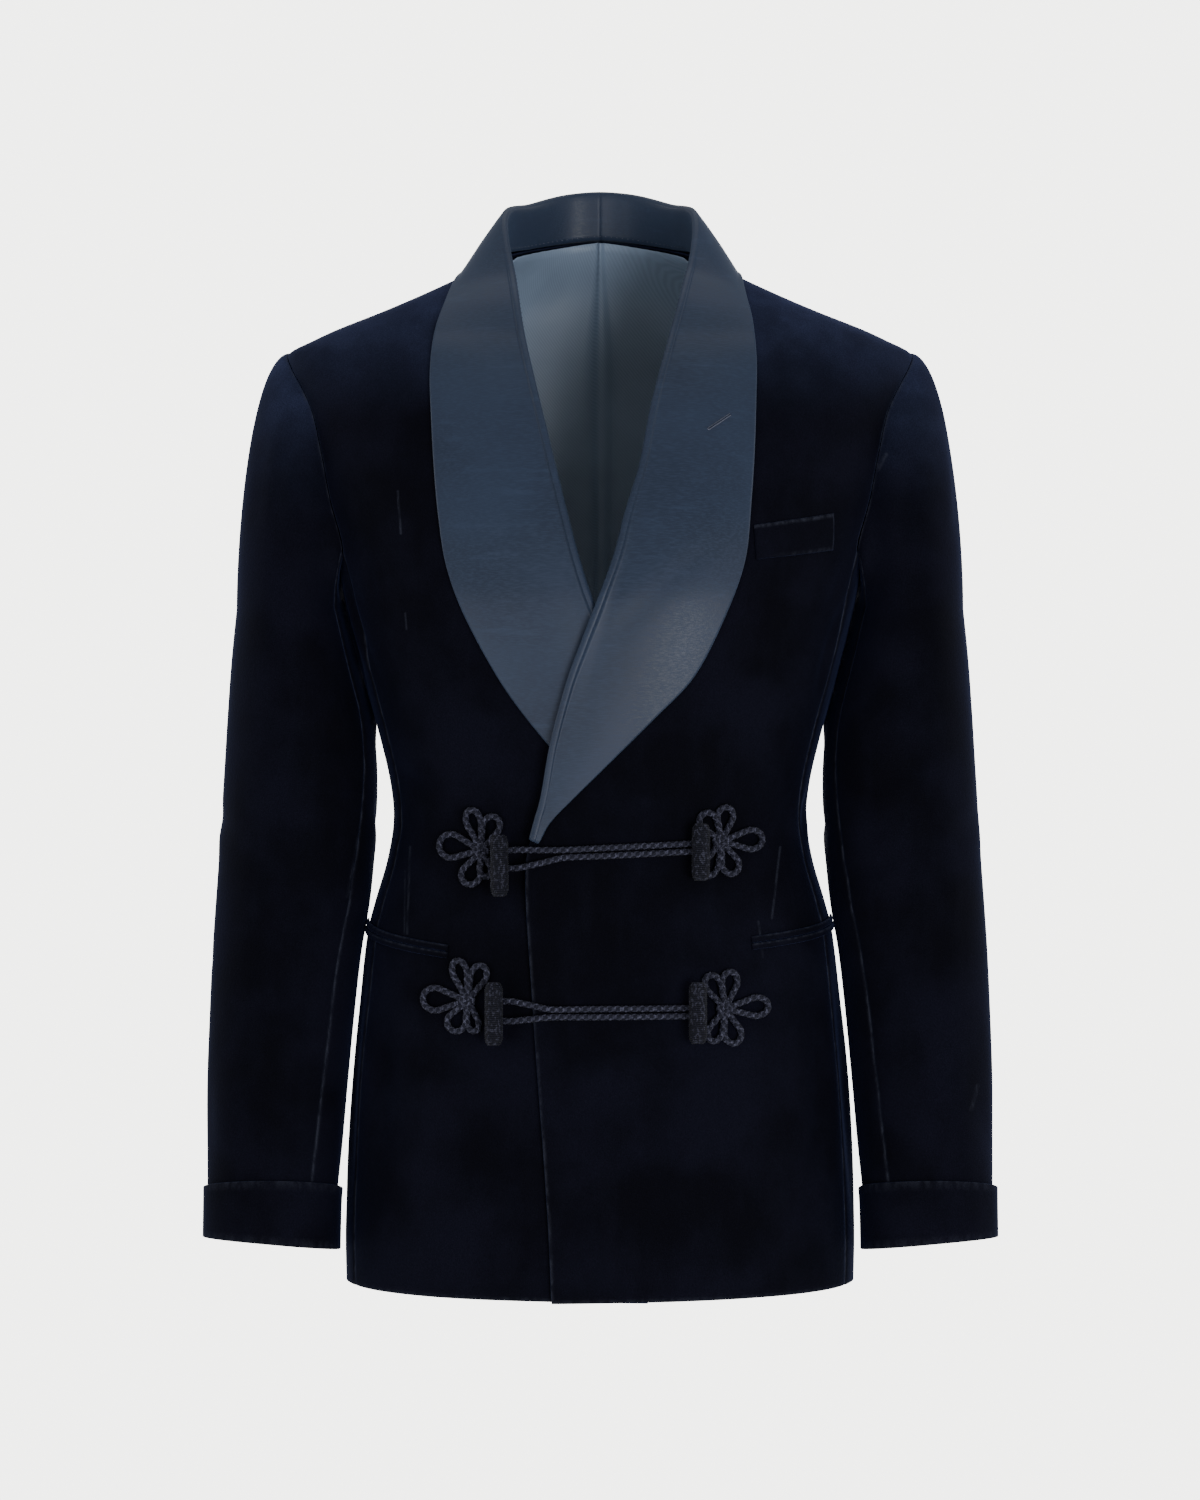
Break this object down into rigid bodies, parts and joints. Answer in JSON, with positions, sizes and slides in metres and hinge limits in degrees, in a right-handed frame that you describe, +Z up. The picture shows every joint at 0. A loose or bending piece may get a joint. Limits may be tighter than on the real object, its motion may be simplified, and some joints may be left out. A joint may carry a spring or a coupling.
{
  "type": "velvet smoking jacket",
  "caption": "Hip-length evening jacket in velvet with a satin shawl collar, turned-back cuffs, slanted hip pockets and cord frogs, hollow and filled out as worn.",
  "frame": {"origin": "base of the neck, level with the points where shoulder and neck meet, on the middle line", "axes": "+Z up, -Y the front, +X the wearer's left"},
  "size_m": [0.574, 0.262, 0.8049],
  "materials": {
    "velvet": "dense cut-pile velvet, very dark navy, with a soft sheen at its edges",
    "satin": "slate-blue satin with a soft gloss",
    "lining": "smooth grey-blue satin twill",
    "cord": "braided cord in dark navy and grey"
  },
  "bodies": {
    "root": {"front_left": "velvet", "front_right": "velvet", "side_left": "velvet", "side_right": "velvet", "back_left": "velvet", "back_right": "velvet", "back_lining": "lining", "shawl_collar_left": "satin", "shawl_collar_right": "satin", "top_sleeve_left": "velvet", "top_sleeve_right": "velvet", "under_sleeve_left": "velvet", "under_sleeve_right": "velvet", "cuff_left": "velvet", "cuff_right": "velvet", "breast_pocket_welt": "velvet", "hip_pocket_right_upper_jet": "velvet", "hip_pocket_right_lower_jet": "velvet", "hip_pocket_left_upper_jet": "velvet", "hip_pocket_left_lower_jet": "velvet", "rosette_upper_right": "cord", "rosette_lower_right": "cord", "rosette_upper_left": "cord", "rosette_lower_left": "cord", "toggle_upper_right": "cord", "toggle_lower_right": "cord", "toggle_upper_left": "cord", "toggle_lower_left": "cord", "loop_upper": "cord", "loop_lower": "cord"}
  },
  "joints": []
}
